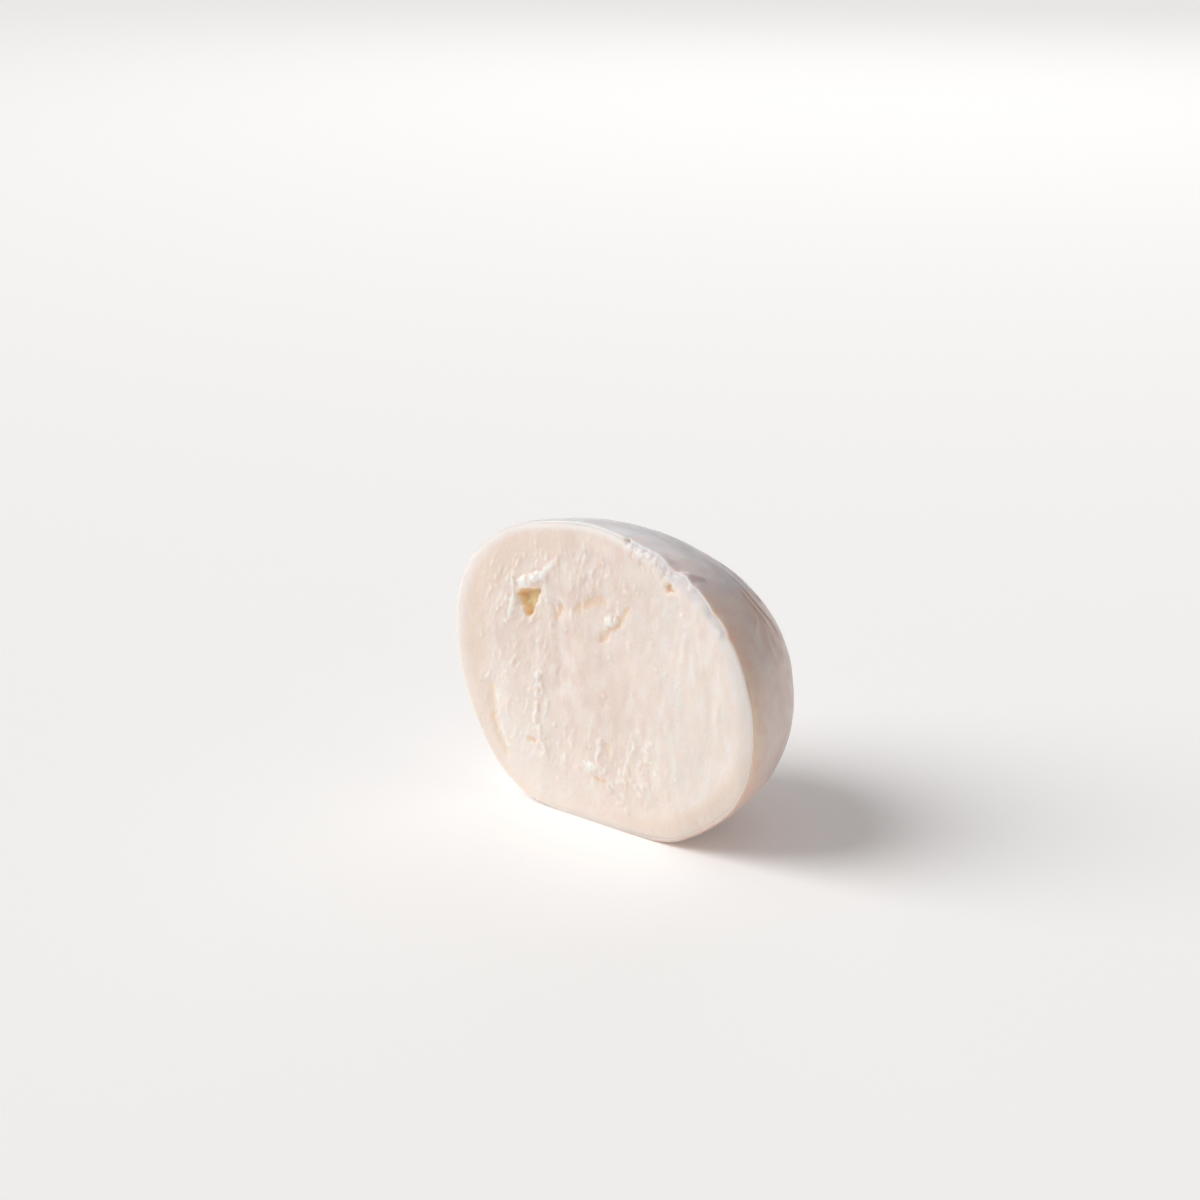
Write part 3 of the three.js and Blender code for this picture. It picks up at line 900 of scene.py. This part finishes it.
def cut_material():
    """Moist cut curd: cream with pinkish mottles and warmer clouds, paler wisps on the right and a paler rim.

    It is amber in the wall, with amber painted shade in pits, creases and holes. Painted light makes it
    lighter low down, low on the left and on the right, and painted shade darkens its rounded edge. It is
    white and wetter where the curd is torn.
    """
    look = Look("cut_curd")
    tint = {name: linear(*shown) for name, shown in CUT_TINTS.items()}
    mottles = look.noise(2.6, stretch=(1, 1, 1.5), detail=2, seed=0.1)
    clouds = look.noise(7, stretch=(1, 1, 1.4), detail=2, seed=0.4)
    wisps = look.noise(1.9, stretch=(1, 1, 4), detail=2, seed=0.3)
    fine = look.noise(0.5, stretch=(1, 1, 2), detail=3, seed=0.7)
    grain = look.noise(0.6, stretch=(1, 1, 1.8), detail=2, seed=0.2)
    # painted light on the right, above the bottom
    right = look.times(look.along("X", 4, 20, most=0.45), look.along("Z", 8, 22))
    # painted light low on the left
    lit_low_left = look.times(look.along("Z", 32, 18, most=0.35), look.along("X", -2, -20))
    right_wisps = look.times(look.fade(wisps, 0.45, 0.75, most=0.5), look.along("X", 4, 20))
    rim = look.mix(look.along("Z", 40, 12), tint["upper rim"], tint["lower rim"])

    colour = look.mix(look.fade(mottles, 0.3, 0.7), tint["dark mottle"], tint["pale mottle"])
    colour = look.mix(look.fade(clouds, 0.42, 0.68, most=0.5), colour, tint["cloud"])
    # painted light: lighter low down
    colour = look.mix(look.along("Z", 26, 8, most=0.5), colour, tint["low"])
    # painted light: lighter on the right
    colour = look.mix(right, colour, tint["right"])
    colour = look.mix(lit_low_left, colour, tint["lit low left"])
    colour = look.mix(right_wisps, colour, tint["wisp"])
    colour = look.mix(look.mask("amber"), colour, tint["amber"])
    colour = look.mix(look.mask("rim"), colour, rim)
    # painted shade on the rounded edge
    colour = look.mix(look.mask("edge"), colour, tint["edge"])
    colour = look.mix(look.fade(look.mask("torn"), 0.2, 0.9, most=0.8), colour, tint["torn"])
    colour = look.mix(look.fade(look.mask("worn"), 0.3, 1), colour, tint["worn"])
    # amber painted shade in pits, creases and holes
    colour = look.mix(look.mask("pit"), colour, tint["pit"])

    roughness = look.mix_value(look.fade(fine, 0.75, 0.25), CUT_FINISH["wet"], CUT_FINISH["dry"])
    roughness = look.mix_value(look.fade(look.mask("torn"), 0.2, 0.8), roughness, CUT_FINISH["torn"])
    normal = look.bump(grain, CUT_FINISH["grain"])
    return look.finish({"Base Color": colour, "Roughness": roughness, "Normal": normal}, CUT_GLOSS)


def skin_material():
    """Wet stretched skin: pinkish cream with mottles, and a milky, streaked film on top, whose cool white is
    partly a painted sky reflection.

    Painted shade darkens the wet top, film and all, to the right. A painted warm glow lies on the skin near
    the cut on the right, and painted shade darkens it on the right further behind and low down.
    """
    look = Look("wet_skin")
    tint = {name: linear(*shown) for name, shown in SKIN_TINTS.items()}
    mottles = look.noise(2.8, detail=3, seed=0.2)
    veil = look.noise(10, detail=3, seed=0.6)
    grain = look.noise(1.1, detail=2, seed=0.4)
    behind = look.mask("behind")
    # painted shade on the wet top to the right
    shaded = look.mask("shaded")

    body = look.mix(look.fade(veil, 0.35, 0.65), tint["dark veil"], tint["pale veil"])
    body = look.mix(look.fade(mottles, 0.36, 0.74, most=0.7), body, tint["mottle"])
    # painted shade on the right, from a little behind the cut
    right = look.times(look.fade(behind, 34, 24), look.along("X", -6, 12))
    right = look.times(look.fade(behind, 7, 17, most=0.8), right)
    spots = look.fade(mottles, 0.36, 0.72)
    body = look.mix(right, body, look.mix(spots, tint["right"], tint["shaded right spot"]))
    # painted light: a warm glow near the cut
    body = look.mix(look.mask("glowing"), body, look.mix(spots, tint["glowing"], tint["glowing spot"]))
    # painted shade low on the right
    low_right_shade = look.times(look.along("Z", 24, 6, most=0.7), look.along("X", 0, 14))
    body = look.mix(low_right_shade, body, tint["shaded low right"])

    # film streaks, partly a painted sky reflection
    streak = look.fade(look.mask("streak"), -0.5, 0.5)
    # lit and shaded copies of the wet top: the shaded ones are painted shade to the right
    lit_film = look.mix(streak, tint["lit film"], tint["lit streak"])
    shaded_film = look.mix(streak, tint["shaded film"], tint["shaded streak"])
    bare = look.mix(shaded, tint["lit bare"], tint["shaded bare"])
    bare = look.mix(look.fade(mottles, 0.4, 0.7, most=0.5), bare, tint["bare mottle"])
    wet_top = look.mix(look.mask("film"), bare, look.mix(shaded, lit_film, shaded_film))
    colour = look.mix(look.mask("wet"), body, wet_top)
    # painted shade on the rounded edge
    colour = look.mix(look.mask("edge"), colour, tint["edge"])
    colour = look.mix(look.mask("spill"), colour, tint["spill"])

    roughness = look.mix_value(look.fade(mottles, 0.3, 0.7), SKIN_FINISH["wet"], SKIN_FINISH["dry"])
    normal = look.bump(grain, SKIN_FINISH["grain"])
    return look.finish({"Base Color": colour, "Roughness": roughness, "Normal": normal}, SKIN_GLOSS)


# ---- Studio ----


def make_floor():
    reach = FLOOR["reach"] * MM
    corners = [(-reach, -reach, 0), (reach, -reach, 0), (reach, reach, 0), (-reach, reach, 0)]
    mesh = bpy.data.meshes.new("floor")
    mesh.from_pydata(corners, [], [(0, 1, 2, 3)])
    floor = bpy.data.objects.new("floor", mesh)
    bpy.context.scene.collection.objects.link(floor)
    tint = linear(*FLOOR_TINT)
    constants = {
        "Base Color": tint,
        "Roughness": FLOOR["roughness"],
        "Emission Color": tint,
        "Emission Strength": FLOOR["glow"],
    }
    mesh.materials.append(Look("floor").finish({}, constants))


def add_light(data, lamp_place, colour):
    """Places a lamp round the middle of the cut, facing it."""
    elevation = math.radians(lamp_place["elevation"])
    azimuth = math.radians(lamp_place["azimuth"])
    distance = lamp_place["distance"]
    level = math.cos(elevation) * distance
    way = Vector((math.sin(azimuth) * level, -math.cos(azimuth) * level, math.sin(elevation) * distance))
    data.energy = lamp_place["power"]
    data.color = colour
    lamp = bpy.data.objects.new(data.name, data)
    lamp.location = (Vector((0, 0, CENTRE_HEIGHT)) + way) * MM
    lamp.rotation_euler = way.to_track_quat("Z", "Y").to_euler()
    lamp.visible_camera = False
    bpy.context.scene.collection.objects.link(lamp)


def make_lights():
    key = bpy.data.lights.new("key", "SUN")
    key.angle = math.radians(KEY["softness"])
    add_light(key, KEY, KEY_COLOUR)
    sky_light = bpy.data.lights.new("sky_light", "AREA")
    sky_light.size = SKY_LIGHT["size"] * MM
    add_light(sky_light, SKY_LIGHT, SKY_COLOUR)


def make_studio():
    make_floor()
    make_lights()
    world = bpy.data.worlds.new("studio")
    world.use_nodes = True
    background = world.node_tree.nodes["Background"]
    background.inputs["Color"].default_value = WORLD_COLOUR
    background.inputs["Strength"].default_value = WORLD_STRENGTH
    bpy.context.scene.world = world
    bpy.context.scene.view_settings.view_transform = "Standard"


def make_camera():
    azimuth, elevation = math.radians(VIEW_AZIMUTH), math.radians(VIEW_ELEVATION)
    right = Vector((math.cos(azimuth), math.sin(azimuth), 0))
    level = math.cos(elevation)
    back = Vector((math.sin(azimuth) * level, -math.cos(azimuth) * level, math.sin(elevation)))
    data = bpy.data.cameras.new("camera")
    data.lens = LENS
    camera = bpy.data.objects.new("camera", data)
    turn = Matrix((right, back.cross(right), back)).transposed().to_4x4()
    camera.matrix_world = Matrix.Translation(Vector(CAMERA_PLACE) * MM) @ turn
    bpy.context.scene.collection.objects.link(camera)
    bpy.context.scene.camera = camera


def main():
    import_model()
    make_camera()
    body = make_body()
    body.data.materials.append(cut_material())
    body.data.materials.append(skin_material())
    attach(body, "root")
    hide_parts("pouch", "filling")
    make_studio()


main()
